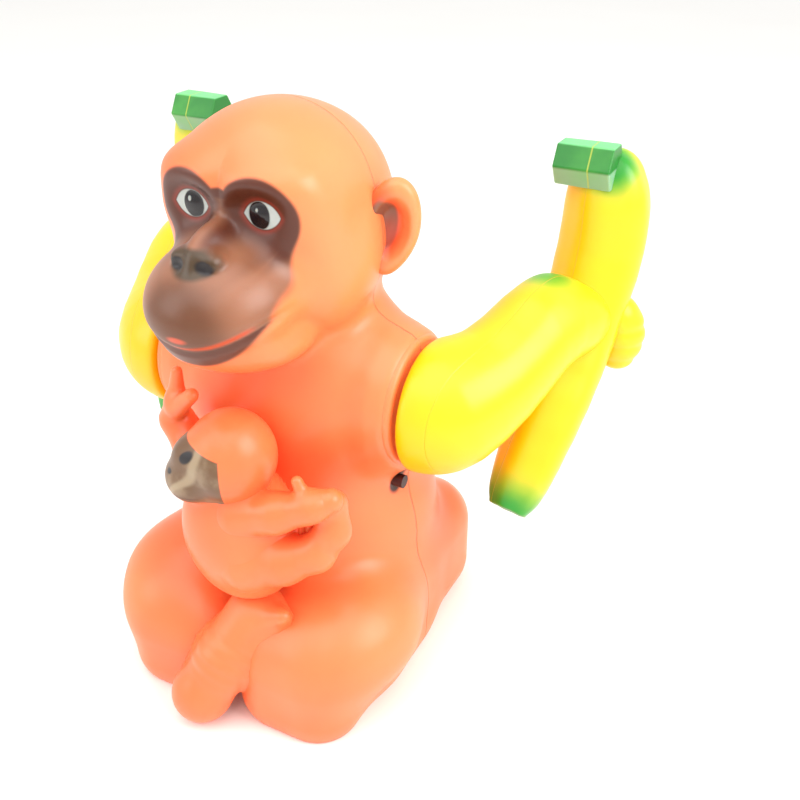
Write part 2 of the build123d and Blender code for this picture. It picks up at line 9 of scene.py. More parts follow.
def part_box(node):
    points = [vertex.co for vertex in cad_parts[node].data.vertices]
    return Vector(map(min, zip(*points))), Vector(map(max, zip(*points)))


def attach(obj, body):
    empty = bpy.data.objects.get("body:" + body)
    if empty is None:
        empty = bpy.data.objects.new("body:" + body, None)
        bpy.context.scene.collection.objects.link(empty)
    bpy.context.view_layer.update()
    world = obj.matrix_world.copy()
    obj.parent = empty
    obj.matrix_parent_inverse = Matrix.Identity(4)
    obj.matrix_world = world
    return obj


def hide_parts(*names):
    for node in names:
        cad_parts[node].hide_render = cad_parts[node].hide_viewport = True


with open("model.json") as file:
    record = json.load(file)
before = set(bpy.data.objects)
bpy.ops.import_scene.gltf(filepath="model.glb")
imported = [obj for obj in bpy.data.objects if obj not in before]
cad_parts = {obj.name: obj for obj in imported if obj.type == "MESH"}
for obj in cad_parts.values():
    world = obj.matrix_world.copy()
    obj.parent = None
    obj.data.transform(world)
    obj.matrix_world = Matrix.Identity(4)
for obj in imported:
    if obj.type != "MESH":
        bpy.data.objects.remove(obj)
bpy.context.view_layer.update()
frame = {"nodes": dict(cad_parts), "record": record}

mm = 0.001
nodes = frame["nodes"]


def nodeBox(name):
    # lowest and highest corner of a CAD node, in millimetres
    low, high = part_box(name)
    return np.array(low) / mm, np.array(high) / mm


axleLow, axleHigh = nodeBox("arm_axle")
axle = (axleLow + axleHigh) / 2
shoulderX = nodeBox("shoulder_bushes")[1][0]
armFaceX = nodeBox("left_arm_inner")[0][0]
print("frame loaded: axle at", axle.round(2), "shoulder face", round(float(shoulderX), 2))


# distance fields: negative inside, in millimetres, on whole arrays of points

def turned(q, turn):
    # the points turned about X, then Y, then Z by the angles in degrees
    for axis, angle in enumerate(turn):
        if angle:
            i, j = [(1, 2), (2, 0), (0, 1)][axis]
            c, s = math.cos(math.radians(angle)), math.sin(math.radians(angle))
            out = q.copy()
            out[..., i] = c * q[..., i] + s * q[..., j]
            out[..., j] = c * q[..., j] - s * q[..., i]
            q = out
    return q


def egg(p, centre, radii, turn=(0, 0, 0)):
    # ellipsoid: how far the scaled radius is from one, over the length of its slope
    q = turned(p - np.array(centre), turn)
    r = np.array(radii)
    k0 = np.sqrt(((q / r) ** 2).sum(-1))
    k1 = np.sqrt(((q / (r * r)) ** 2).sum(-1)) + 1e-9
    return k0 * (k0 - 1) / k1


def block(p, centre, half, rounding):
    # box with its edges rounded: distance to a smaller box, less the rounding
    q = np.abs(p - np.array(centre)) - np.array(half) + rounding
    return np.sqrt((np.maximum(q, 0) ** 2).sum(-1)) + np.minimum(q.max(-1), 0) - rounding


def drum(p, start, end, radius, rounding):
    # round bar along X on both sides, between two distances out, with its edge rounded
    out = np.abs(np.abs(p[..., 0]) - (start + end) / 2) - (end - start) / 2 + rounding
    across = np.sqrt(p[..., 1] ** 2 + p[..., 2] ** 2) - radius + rounding
    far = np.sqrt(np.maximum(out, 0) ** 2 + np.maximum(across, 0) ** 2)
    return far + np.minimum(np.maximum(out, across), 0) - rounding


def rod(p, a, b):
    # cone with round ends between two stations, each a place and a radius
    a0, b0 = np.array(a[:3], float), np.array(b[:3], float)
    ab = b0 - a0
    q = p - a0
    t = np.clip(q @ ab / (ab @ ab), 0, 1)
    return np.sqrt(((q - t[..., None] * ab) ** 2).sum(-1)) - (a[3] + (b[3] - a[3]) * t)


def join(a, b, k):
    # the nearer of two fields, run together over the width k
    h = np.clip(0.5 + 0.5 * (b - a) / k, 0, 1)
    return b + (a - b) * h - k * h * (1 - h)


def cut(a, b, k):
    # the first field with the second taken away, its edge rounded over the width k
    return -join(-a, b, k)


def chain(p, stations, k=3.0):
    # rods from station to station, run together
    d = rod(p, stations[0], stations[1])
    for a, b in zip(stations[1:-1], stations[2:]):
        d = join(d, rod(p, a, b), k)
    return d


def folded(p):
    # both halves of a mirrored shape at once
    q = p.copy()
    q[..., 0] = np.abs(q[..., 0])
    return q


# grids of points laid on a field

def slope(field, p, step=0.05):
    # the field and its gradient, from four points at a tetrahedron's corners
    corners = np.array([[1, -1, -1], [-1, -1, 1], [-1, 1, -1], [1, 1, 1]], float)
    parts = [field(p + c * step) for c in corners]
    gradient = sum(c * part[..., None] for c, part in zip(corners, parts)) / (4 * step)
    return sum(parts) / 4, gradient


def reach(field, origin, direction, limit=200.0, steps=60):
    # how far each ray goes from inside the field until it comes out
    t = np.full(direction.shape[:-1], 0.4)
    for _ in range(steps):
        t = np.minimum(t + np.clip(-field(origin + t[..., None] * direction), -2, 9) * 0.9, limit)
    return t


def doubled(grid):
    # the grid with a point put in the middle of each step, both ways
    for axis in (0, 1):
        rows = np.moveaxis(grid, axis, 0)
        out = np.empty((2 * len(rows) - 1,) + rows.shape[1:])
        out[0::2], out[1::2] = rows, (rows[1:] + rows[:-1]) / 2
        grid = np.moveaxis(out, 0, axis)
    return grid


def settle(field, grid, rounds, borders, focus=None):
    # each point moves towards the middle of its neighbours, then back onto the field;
    # borders holds the axis that each side of the grid keeps: first row, last row, sides
    firstAxis, lastAxis, sideAxis = borders
    for turn in range(rounds + 3):
        if turn < rounds:
            w = focus(grid) if focus else np.ones(grid.shape[:2])
            up, down = np.roll(grid, -1, 0), np.roll(grid, 1, 0)
            left, right = np.roll(grid, -1, 1), np.roll(grid, 1, 1)
            wu, wd = w + np.roll(w, -1, 0), w + np.roll(w, 1, 0)
            wl, wr = w + np.roll(w, -1, 1), w + np.roll(w, 1, 1)
            wu[-1], wd[-1], wu[0], wd[0] = 0, 0, 0, 0
            wl[:, 0], wr[:, 0], wl[:, -1], wr[:, -1] = 0, 0, 0, 0
            total = wu + wd + wl + wr
            mean = up * wu[..., None] + down * wd[..., None] + left * wl[..., None] + right * wr[..., None]
            moved = np.where(total[..., None] > 0, mean / np.maximum(total, 1e-9)[..., None], grid)
            grid = grid * 0.4 + moved * 0.6
        d, g = slope(field, grid)
        for side, axis in ((np.s_[0, :], firstAxis), (np.s_[-1, :], lastAxis)):
            if axis is not None:
                g[side + (axis,)] = 0
        if sideAxis is not None:
            g[:, 0, sideAxis] = g[:, -1, sideAxis] = 0
        size = (g ** 2).sum(-1)
        d = np.where(size > 0.02, np.clip(d, -2, 2), 0)
        grid = grid - g * (d / np.maximum(size, 0.02))[..., None]
    return grid


# meshes

def makeMesh(name, points, faces, smooth=True):
    mesh = bpy.data.meshes.new(name)
    points = np.asarray(points, float).reshape(-1, 3) * mm
    counts = np.concatenate([np.full(len(f), f.shape[1]) for f in faces if len(f)])
    loops = np.concatenate([f.ravel() for f in faces if len(f)])
    mesh.vertices.add(len(points))
    mesh.vertices.foreach_set("co", points.ravel())
    mesh.loops.add(len(loops))
    mesh.loops.foreach_set("vertex_index", loops.astype(np.int32))
    mesh.polygons.add(len(counts))
    starts = np.concatenate([[0], np.cumsum(counts)[:-1]])
    mesh.polygons.foreach_set("loop_start", starts.astype(np.int32))
    mesh.polygons.foreach_set("loop_total", counts.astype(np.int32))
    mesh.polygons.foreach_set("use_smooth", np.full(len(counts), smooth))
    mesh.update(calc_edges=True)
    mesh.validate()
    piece = bpy.data.objects.new(name, mesh)
    bpy.context.scene.collection.objects.link(piece)
    return piece


def quadsOf(rows, columns, start=0, wrap=False, flip=False):
    # the faces of a grid, as point numbers
    ids = np.arange(rows * columns).reshape(rows, columns) + start
    if wrap:
        ids = np.concatenate([ids, ids[:, :1]], 1)
    a, b, c, d = ids[:-1, :-1], ids[1:, :-1], ids[1:, 1:], ids[:-1, 1:]
    order = (a, d, c, b) if flip else (a, b, c, d)
    return np.stack(order, -1).reshape(-1, 4)


def closedRings(rings, start=0, flip=False):
    # points and faces of rings, with the first and the last drawn together to a point
    rows, columns = rings.shape[:2]
    points = np.concatenate([rings[1:-1].reshape(-1, 3), rings[0].mean(0)[None], rings[-1].mean(0)[None]])
    foot, top = start + len(points) - 2, start + len(points) - 1
    first = np.arange(columns) + start
    last = first + (rows - 3) * columns
    low = np.stack([np.full(columns, foot), first, np.roll(first, -1)], -1)
    high = np.stack([np.full(columns, top), np.roll(last, -1), last], -1)
    if flip:
        low, high = low[:, ::-1], high[:, ::-1]
    return points, [quadsOf(rows - 2, columns, start, True, flip), low, high]


def closedTube(name, rings, flip=False):
    return makeMesh(name, *closedRings(rings, 0, flip))


def wallShell(name, outer, inner, flip):
    # an open grid and a coarser one inside it, joined round their four sides
    rows, columns = outer.shape[:2]
    innerRows, innerColumns = inner.shape[:2]
    start = rows * columns
    points = np.concatenate([outer.reshape(-1, 3), inner.reshape(-1, 3)])
    faces = [quadsOf(rows, columns, 0, False, flip), quadsOf(innerRows, innerColumns, start, False, not flip)]
    outerIds = np.arange(start).reshape(rows, columns)
    innerIds = np.arange(innerRows * innerColumns).reshape(innerRows, innerColumns) + start
    sides = [
        (outerIds[0], innerIds[0], flip), (outerIds[-1], innerIds[-1], not flip),
        (outerIds[:, 0], innerIds[:, 0], not flip), (outerIds[:, -1], innerIds[:, -1], flip),
    ]
    for fine, coarse, turnRound in sides:
        triangle = np.stack([fine[0:-1:2], fine[1::2], coarse[:-1]], -1)
        quad = np.stack([fine[1::2], fine[2::2], coarse[1:], coarse[:-1]], -1)
        if turnRound:
            triangle, quad = triangle[:, ::-1], quad[:, ::-1]
        faces += [triangle, quad]
    return makeMesh(name, points, faces)


def fanTube(field, stations, steps, around, capSteps, spread, reference=(0, 0, 1), facets=None):
    # rays square to a path through the stations, and fanned out at both its ends;
    # facets swells the section that many times round
    stations = np.array(stations, float)
    lengths = np.concatenate([[0], np.cumsum(np.linalg.norm(np.diff(stations[:, :3], axis=0), axis=1))])
    s = np.linspace(0, lengths[-1], steps)
    path = np.stack([np.interp(s, lengths, stations[:, i]) for i in range(4)], -1)
    for _ in range(max(2, steps // 6)):
        path[1:-1] = (path[:-2] + 2 * path[1:-1] + path[2:]) / 4
    along = np.gradient(path[:, :3], axis=0)
    along /= np.linalg.norm(along, axis=1, keepdims=True)
    side = np.cross(along, np.array(reference, float))
    side /= np.linalg.norm(side, axis=1, keepdims=True)
    up = np.cross(side, along)
    low = np.radians(np.linspace(-90, 0, capSteps, endpoint=False))
    high = -low[::-1]
    tilt = np.concatenate([low, np.zeros(steps), high])
    pick = np.concatenate([np.zeros(capSteps, int), np.arange(steps), np.full(capSteps, steps - 1)])
    phi = np.linspace(0, 2 * np.pi, around, endpoint=False)
    flat = np.cos(phi)[None, :, None] * side[pick][:, None] + np.sin(phi)[None, :, None] * up[pick][:, None]
    direction = np.cos(tilt)[:, None, None] * flat + np.sin(tilt)[:, None, None] * along[pick][:, None]
    origin = np.repeat(path[pick][:, None, :3], around, 1)
    t = reach(field, origin, direction, path[pick][:, 3][:, None] * spread)
    if facets:
        count, depth, phase = facets
        t = t * (1 + depth * (np.cos(count * phi + phase) * np.cos(tilt)[:, None] - 0.5))
    return origin + t[..., None] * direction


# the mother's two shells

mother = {
    "wall": 1.8,
    "frontRays": (84, 54),
    "backRays": (60, 44),
    "headRise": 55.0,       # the middle of the head above the axle
    "faceRise": 48.0,
    "faceFocus": 1.7,
    "slot": (40.5, -5.0, 73.5),     # the hollow round the stop knob
    "slotHollow": (3.2, 2.4),
}
face = {
    # painted ovals: middle out and up from the axle, half sizes, and a turn where there is one
    "eye": (11.2, 64.0),
    "round": ((10.9, 63.2), (11.6, 11.6)),
    "muzzle": ((0.0, 45.0), (20.8, 18.0)),
    "browBridge": ((0.0, 65.6), (6.5, 5.2)),
    "lowered": ((6.5, 53.5), (8.0, 4.2), -12.0),
    "brown": ((0.0, 40.0), (13.0, 11.0)),
    # the next two are painted highlights: tan on the cheeks and along the nose bridge
    "cheekHighlight": ((14.5, 46.5), (6.0, 9.0), 8.0),
    "noseBridgeHighlight": ((-0.5, 60.0), (2.4, 4.5)),
    "nose": ((0.0, 54.6), (8.2, 3.6)),
    "nostril": ((4.4, 54.0), (2.5, 1.8), -14.0),
    "worn": ((0.5, 36.6), (2.8, 0.9)),
    "glints": [((-11.9, 65.4), (0.55, 0.7)), ((10.1, 65.4), (0.4, 0.5))],
    "lidUpper": ((0.3, -3.0), (6.2, 6.9)),      # the eye's own ovals, from its middle
    "lidLower": ((0.3, 2.8), (6.2, 6.5)),
    "iris": ((-0.5, 0.0), (3.3, 3.9)),
    "gate": ((-26.5, 69.5), (1.5, 1.9)),        # on the flank: forward and up from the floor
    # half sizes and turn of the painted shade in the slot
    "slot": ((2.6, 3.8), -24.0),
    "lipRise": 32.6,
    "lipBend": 0.0185,
    "lipReach": 17.5,
}


head = {
    # egg masses, each a middle above the axle, half sizes, turn, and how softly it joins the rest
    "masses": [
        ((0, 0.5, 56.5), (29.5, 32.5, 30), (0, 0, 0), 0),           # skull
        ((0, 3, 44), (27, 27, 24), (0, 0, 0), 10),                  # nape
        ((17, -12, 44), (13, 16, 19), (0, 0, 0), 9),                # cheeks
        ((16, -20.5, 63.5), (11.5, 11, 12.5), (0, 0, 0), 8),        # temples
        ((0, -10, 69), (24, 22.5, 18), (0, 0, 0), 8),               # forehead
        ((12, -27.5, 71.5), (11, 6, 5), (0, 0, 20), 7),             # brows
        ((0, -36, 41), (21.5, 22.8, 15.8), (10, 0, 0), 8),          # muzzle
        ((0, -30, 27.8), (21.5, 22.8, 10), (-6, 0, 0), 4),          # chin
    ],
    "eyeHollow": ((11.5, -38.5, 64.5), (9.5, 8, 7)),
    "hollowEdge": 4,
    "features": [
        ((11.2, -25.3, 64.0), (6.4, 6.6, 5.2), (0, 0, 0), 2),       # eyes
        ((0, -40.5, 56.2), (4.4, 8.6, 5.6), (18, 0, 0), 5),         # nose
        ((4.6, -45.0, 54.8), (3.2, 4.2, 2.6), (0, 0, 0), 2),        # sides of the nose
    ],
    "lipDepth": 1.1,
    "lipWidth": 1.3,
    "nostril": ((4.4, -49.4, 54.0), 1.6, 2.0),
}
trunk = {
    # the same, down to the hips
    "masses": [
        ((0, 2, 19), (29, 25, 24), (0, 0, 0), 0),                   # neck
        ((0, 2, -10), (42, 33, 34), (0, 0, 0), 10),                 # chest
        ((24, 1, 1), (21.5, 23, 24), (0, 0, 0), 9),                 # shoulders
        ((0, 6, -52), (43, 40, 44), (0, 0, 0), 12),                 # belly
    ],
    "drum": (34.0, 20.9, 2.4, 9),       # start, radius, edge and blend of the round behind each arm
    "lip": 1.4,
    # from the floor up: middle, half sizes, rounding
    "lap": ((22, -20, 14), (21.5, 38, 21), 15),
    "knees": [((29.5, -27, 27), (25, 28, 20), (0, 0, 0), 10)],
    "seat": ((20, 10, 19), (24.5, 43, 24.5), 16),
}


def massed(p, masses, d=None):
    # eggs run together one after another, onto a field where there is one already
    for centre, radii, turn, blend in masses:
        d = egg(p, centre, radii, turn) if d is None else join(d, egg(p, centre, radii, turn), blend)
    return d


def overAxle(p):
    return p - np.array([0, 0, axle[2]])


def dent(p, centre, radius, depth):
    # a round hollow of that depth, added to a field
    return depth * np.exp(-((p - np.array(centre)) ** 2).sum(-1) / radius ** 2)


def headField(p):
    # the egg masses run together, the eye hollows cut, then eyes, nose and lip line
    m = folded(overAxle(p))
    d = massed(m, head["masses"])
    d = cut(d, egg(m, *head["eyeHollow"]), head["hollowEdge"])
    d = massed(m, head["features"], d)
    lip = face["lipRise"] + face["lipBend"] * m[..., 0] ** 2
    front = np.clip((-30 - m[..., 1]) / 8, 0, 1) * np.clip((23 - m[..., 0]) / 4, 0, 1)
    d = d + head["lipDepth"] * np.exp(-((m[..., 2] - lip) / head["lipWidth"]) ** 2) * front
    return d + dent(m, *head["nostril"])


def trunkField(p):
    # the trunk's masses, with the shoulders' drums, the knees' and the seat's rounded blocks
    q, m = overAxle(p), folded(p)
    start, radius, edge, blend = trunk["drum"]
    d = massed(folded(q), trunk["masses"])
    d = join(d, drum(q, start, shoulderX - trunk["lip"], radius, edge), blend)
    d = join(d, block(m, *trunk["lap"]), 8)
    d = massed(m, trunk["knees"], d)
    d = join(d, block(m, *trunk["seat"]), 10)
    return d + dent(p, mother["slot"], *mother["slotHollow"])


def motherField(p):
    return join(headField(p), trunkField(p), 5)


def shellRays(facing, size):
    # rows climb the body as level rays from its axis, then fan over the crown from the head's middle
    rows, columns = size
    headZ = axle[2] + mother["headRise"]
    fan = rows // 4
    z = np.concatenate([np.linspace(0, headZ, rows - fan), np.full(fan, headZ)])
    tilt = np.concatenate([np.zeros(rows - fan), np.linspace(0, np.pi / 2, fan + 1)[1:]])
    a = np.linspace(0, np.pi, columns)
    direction = np.stack([
        np.broadcast_to(np.cos(a), (rows, columns)),
        facing * np.cos(tilt)[:, None] * np.sin(a),
        np.sin(tilt)[:, None] * np.sin(a),
    ], -1)
    origin = np.zeros((rows, columns, 3))
    origin[..., 2] = z[:, None]
    return origin + reach(motherField, origin, direction)[..., None] * direction


def buildShell(name, facing, size, focus):
    borders = (2, 1, 1)
    grid = settle(motherField, shellRays(facing, size), 80, borders, focus)
    grid = settle(motherField, doubled(grid), 24, borders, focus)
    grid = settle(motherField, doubled(grid), 6, borders, focus)
    inner = grid[::2, ::2]
    _, g = slope(motherField, inner)
    inner = inner - g * mother["wall"]
    inner[:, 0, 1] = inner[:, -1, 1] = inner[-1, :, 1] = 0
    inner[0, :, 2] = 0
    inner = settle(lambda p: motherField(p) + mother["wall"], inner, 0, borders)
    return wallShell(name, grid, inner, facing > 0)


def faceFocus(p):
    # finer steps on the face
    q = overAxle(p)
    far = (q[..., 0] / 26) ** 2 + ((q[..., 2] - mother["faceRise"]) / 26) ** 2
    return 1 + mother["faceFocus"] * np.exp(-far) * (q[..., 1] < 5)


frontShell = buildShell("mother_front", -1, mother["frontRays"], faceFocus)
backShell = buildShell("mother_back", 1, mother["backRays"], None)
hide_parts("front_shell")
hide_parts("back_shell")
bodyPieces = [frontShell, backShell]
print("shells made:", len(frontShell.data.polygons), len(backShell.data.polygons))


base = {
    "thickness": 3.0,
    "play": 0.25,
    "bevel": 0.4,
    "slant": 1.06,          # a ray meets the wall at a slant, so its inset is a little longer
    "around": 240,
    "screws": [(-33.0, -22.0), (33.0, -22.0), (-33.0, 26.0), (33.0, 26.0)],
    # heights and radii of a countersunk screw, from its recess over the head to the point
    "screwProfile": [(0.4, 0.0), (0.5, 0.9), (0.5, 1.0), (0.3, 2.3), (2.0, 2.5), (2.0, 1.3), (12.0, 1.3),
                     (12.2, 0.0)],
    "screwAround": 32,
}


def makeBase(name):
    # the outline of the shells' inside, worked out at several heights
    phi = np.linspace(0, 2 * np.pi, base["around"], endpoint=False)
    bevel, thickness = base["bevel"], base["thickness"]
    heights = np.array([0.0, 0.0, bevel, thickness, thickness])
    inset = np.array([bevel, bevel, 0.0, 0.0, bevel]) + mother["wall"] + base["play"]
    direction = np.stack([np.cos(phi), np.sin(phi), 0 * phi], -1)
    direction = np.broadcast_to(direction, (len(heights),) + direction.shape)
    origin = np.zeros(direction.shape)
    origin[..., 2] = heights[:, None]
    t = reach(motherField, origin, direction) - inset[:, None] * base["slant"]
    rings = origin + t[..., None] * direction
    rings[0], rings[-1] = rings[0] * [0.02, 0.02, 1], rings[-1] * [0.02, 0.02, 1]
    return closedTube(name, rings, True)


def makeBaseScrews(name):
    # countersunk heads let into the plate, each a small turned profile
    profile = np.array(base["screwProfile"])
    phi = np.linspace(0, 2 * np.pi, base["screwAround"], endpoint=False)
    height = np.broadcast_to(profile[:, :1], (len(profile), len(phi)))
    points, faces, start = [], [], 0
    for x, y in base["screws"]:
        rings = np.stack([x + profile[:, 1:] * np.cos(phi), y + profile[:, 1:] * np.sin(phi), height], -1)
        screwPoints, screwFaces = closedRings(rings, start, True)
        points.append(screwPoints)
        faces += screwFaces
        start += len(screwPoints)
    return makeMesh(name, np.concatenate(points), faces)


basePlate = makeBase("base")
baseScrews = makeBaseScrews("base_fixings")
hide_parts("base_plate")
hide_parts("base_screws")
for piece, slotName in ((basePlate, "base_plastic"), (baseScrews, "screw_steel")):
    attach(piece, "body")


# shapes carried round a line

def smoothLine(points, count):
    # a curve through the points: each span is the cubic that leaves in the line of its neighbours
    points = np.array(points, float)
    ends = np.concatenate([[2 * points[0] - points[1]], points, [2 * points[-1] - points[-2]]])
    t = np.linspace(0, len(points) - 1.0001, count)
    i = t.astype(int)
    f = (t - i)[:, None]
    a, b, c, d = ends[i], ends[i + 1], ends[i + 2], ends[i + 3]
    return b + f * ((c - a) + f * ((2 * a - 5 * b + 4 * c - d) + f * (3 * b - a - 3 * c + d))) / 2


ear = {
    "middle": (32.8, 0.6, 53.8),
    "half": (8.6, 15.0),
    "faceTurn": 24.0,       # degrees that the bowl looks outwards from straight ahead
    "lean": 8.0,
    # share of the half width, and how far forward, from the bowl's middle over the rim to the back
    "profile": [(0, -2.0), (0.2, -2.2), (0.38, -1.8), (0.52, 0.0), (0.66, 1.8), (0.8, 2.0), (0.93, 1.2),
                (1.0, -0.6), (0.98, -2.2), (0.85, -4.4), (0.6, -6.2), (0.3, -7.0), (0, -7.2)],
}


def makeEar(name, side):
    # a profile turned round the ear's middle, stretched into an oval
    line = smoothLine(ear["profile"], 56)
    phi = np.linspace(0, 2 * np.pi, 72, endpoint=False)
    narrow = 1 - 0.18 * np.clip(-np.sin(phi), 0, 1) ** 2
    a = line[:, 0][:, None] * np.cos(phi) * ear["half"][0] * narrow
    b = line[:, 0][:, None] * np.sin(phi) * ear["half"][1]
    n = np.broadcast_to(line[:, 1][:, None], a.shape)
    turn, lean = math.radians(ear["faceTurn"]), math.radians(ear["lean"])
    across = np.array([math.cos(turn), math.sin(turn), 0.0])
    ahead = np.array([math.sin(turn), -math.cos(turn), 0.0])
    upward = np.array([math.sin(lean), 0.0, math.cos(lean)])
    points = a[..., None] * across + b[..., None] * upward + n[..., None] * ahead
    points = points + np.array([0, 0, axle[2]]) + np.array(ear["middle"])
    points[..., 0] *= side
    return closedTube(name, points, side < 0)


for name, side in (("ear_left", 1), ("ear_right", -1)):
    bodyPieces.append(makeEar(name, side))


shoulder = {
    "radius": 21.4,
    # how far out of the body, and share of the radius
    "profile": [(-5.0, 0.985), (-2.2, 0.985), (-1.0, 0.975), (-0.3, 0.95), (0.0, 0.91), (0.0, 0.86),
                (-0.3, 0.83), (-0.4, 0.7), (-0.4, 0.5), (-0.4, 0.25)],
}


def makeShoulder(name, side):
    # the profile turned round the arm axle
    line = smoothLine(shoulder["profile"], 60)
    phi = np.linspace(0, 2 * np.pi, 120, endpoint=False)
    radius = line[:, 1][:, None] * shoulder["radius"]
    points = np.stack([
        np.broadcast_to((shoulderX + line[:, 0])[:, None] * side, (len(line), len(phi))),
        axle[1] + radius * np.cos(phi), axle[2] + radius * np.sin(phi)], -1)
    return closedTube(name, points, side > 0)


for name, side in (("shoulder_left", 1), ("shoulder_right", -1)):
    bodyPieces.append(makeShoulder(name, side))
print("ears and shoulders made")


# the mother's foot in front, and the baby

foot = {
    "stations": [(6, -44.5, 35, 9.4), (0.5, -53.5, 22.5, 9.8), (-4.6, -60, 11, 9.3)],
    "heel": [(9, -44, 35, 8), (20.0, -48.0, 43.0, 2.6)],
    "toe": ((-5.8, -61.0, 10.0), (9.4, 9.0, 9.8)),
    "ridges": [0.30, 0.45, 0.60, 0.73],
}
baby = {
    "head": ((3.2, -44.0, 95.5), (13.2, 13.4, 14.2)),
    "brow": ((-4.0, -50.0, 97.0), (7.5, 6.5, 6.0)),
    "snout": ((-6.4, -49.0, 89.0), (9.0, 8.8, 8.2)),
    "looks": (-0.89, -0.45),        # the way the face looks, from above
    "back": ((2.5, -41.5, 66.5), (19.5, 14.6, 24.0)),
    "arm": [(8, -48, 79, 6.8), (20, -47.5, 82.5, 5.2), (31, -45.0, 87.0, 4.4)],
    "hand": [(30, -45.5, 87.0, 4.8), (35.5, -42.0, 88.6, 3.7)],
    "thumb": [(29.5, -45.0, 88.0, 2.3), (26.5, -45.0, 94.2, 1.7)],
    "leg": [(9, -47, 61, 9.4), (21, -46.5, 64.8, 6.6), (30.5, -43.5, 69, 5.0), (35.0, -40.5, 76.5, 4.3),
            (34.5, -39.0, 85, 3.8)],
    "farArm": [(-2, -45, 84, 6.5), (-13, -39.5, 89, 6.0), (-21.5, -37, 96.5, 4.8)],
    "farHand": [(-22.0, -38, 98.5, 4.8), (-20.0, -38.5, 105.5, 3.0), (-18.5, -38.5, 115.5, 1.7)],
    "farThumb": [(-18.5, -40.5, 104, 3.0), (-11.0, -42.0, 111, 2.2)],
    "toes": [(24.6, 1.3), (27.0, 1.2), (29.4, 1.1)],
    "toeReach": (-41.0, 73.0, 84.0),
}


def fused(a, b, k, limit):
    # a with a fillet towards b, but no further out than the limit from a
    return np.maximum(join(a, b, k), a - limit)


def footField(p):
    stations = foot["stations"]
    d = chain(p, stations, 5)
    d = join(d, egg(p, *foot["toe"]), 3)
    d = join(d, chain(p, foot["heel"], 2), 4)
    start, end = np.array(stations[0][:3]), np.array(stations[-1][:3])
    along = (p - start) @ (end - start) / ((end - start) @ (end - start))
    crown = np.clip((p[..., 2] - 16) / 8, 0, 1)
    for place in foot["ridges"]:
        d = d + 0.35 * np.exp(-((along - place) / 0.05) ** 2) * crown
    return d


def babyHeadField(p):
    d = egg(p, *baby["head"])
    d = join(d, egg(p, *baby["brow"]), 3)
    return join(d, egg(p, *baby["snout"]), 3.5)


def babyBackField(p):
    return egg(p, *baby["back"])


def limbField(*names, k=2.0):
    def field(p):
        d = chain(p, baby[names[0]], k + 1)
        for name in names[1:]:
            d = join(d, chain(p, baby[name], 2), k)
        return d
    return field


babyArmField = limbField("arm", "hand", "thumb")
babyLegField = limbField("leg")
babyFarField = limbField("farArm", "farHand", "farThumb")


def babyBody(p):
    d = join(babyBackField(p), babyHeadField(p), 2.0)
    return join(join(d, babyArmField(p), 3), join(babyLegField(p), babyFarField(p), 2), 3)


def makeBall(name, field, whole, centre, size, limit=2.0, k=2.5):
    # rays from one point in every direction, with a fillet towards what it sits against
    rows, columns = size
    polar = np.linspace(-np.pi / 2, np.pi / 2, rows)
    phi = np.linspace(0, 2 * np.pi, columns, endpoint=False)
    direction = np.stack([
        np.cos(polar)[:, None] * np.cos(phi), np.cos(polar)[:, None] * np.sin(phi),
        np.broadcast_to(np.sin(polar)[:, None], (rows, columns))], -1)
    origin = np.broadcast_to(np.array(centre, float), direction.shape)
    t = reach(lambda p: fused(field(p), whole(p) + 0.1, k, limit), origin, direction)
    return closedTube(name, origin + t[..., None] * direction, True)


def makeLimb(name, field, whole, stations, size, limit=1.6, k=2.5, spread=4.0, reference=(0, 0, 1)):
    rings = fanTube(lambda p: fused(field(p), whole(p) + 0.1, k, limit), stations, *size, spread, reference)
    return closedTube(name, rings)


def trunkAndBaby(p):
    return join(trunkField(p), babyBody(p), 1.5)


bodyPieces.append(makeLimb("mother_foot", footField, trunkField, foot["stations"], (70, 96, 24), 1.2))
babyHead = makeBall("baby_head", babyHeadField, trunkAndBaby, baby["head"][0], (110, 150), 1.2, 1.5)
bodyPieces.append(makeBall("baby_back", babyBackField, trunkAndBaby, baby["back"][0], (96, 120), 2.0))
# each limb, what it runs into, and its steps along, around and over each end
limbs = [
    ("baby_arm", "arm", trunkAndBaby, (70, 56, 14)),
    ("baby_hand", "hand", limbField("arm", "thumb"), (30, 48, 14)),
    ("baby_thumb", "thumb", limbField("hand"), (24, 36, 10)),
    ("baby_leg", "leg", trunkAndBaby, (110, 60, 14)),
    ("baby_far_arm", "farArm", trunkAndBaby, (50, 48, 14)),
    ("baby_far_thumb", "farThumb", limbField("farHand"), (24, 32, 10)),
]
for name, part, against, steps in limbs:
    bodyPieces.append(makeLimb(name, limbField(part), against, baby[part], steps))
bodyPieces.append(makeLimb("baby_far_hand", limbField("farHand"), limbField("farArm", "farThumb"),
                           baby["farHand"], (30, 40, 12), reference=(1, 0, 0)))
toeY, toeLow, toeHigh = baby["toeReach"]
for number, (x, radius) in enumerate(baby["toes"]):
    line = [(x, toeY, toeLow, radius * 1.1), (x + 0.6, toeY + 0.8, toeHigh, radius)]
    bodyPieces.append(makeLimb(f"baby_finger_{number}", lambda p, line=line: chain(p, line), trunkField, line,
                               (24, 24, 8), reference=(1, 0, 0)))
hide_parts("baby")
bodyPieces.append(babyHead)
for piece in bodyPieces:
    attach(piece, "body")
print("foot and baby made")


# arms and bananas

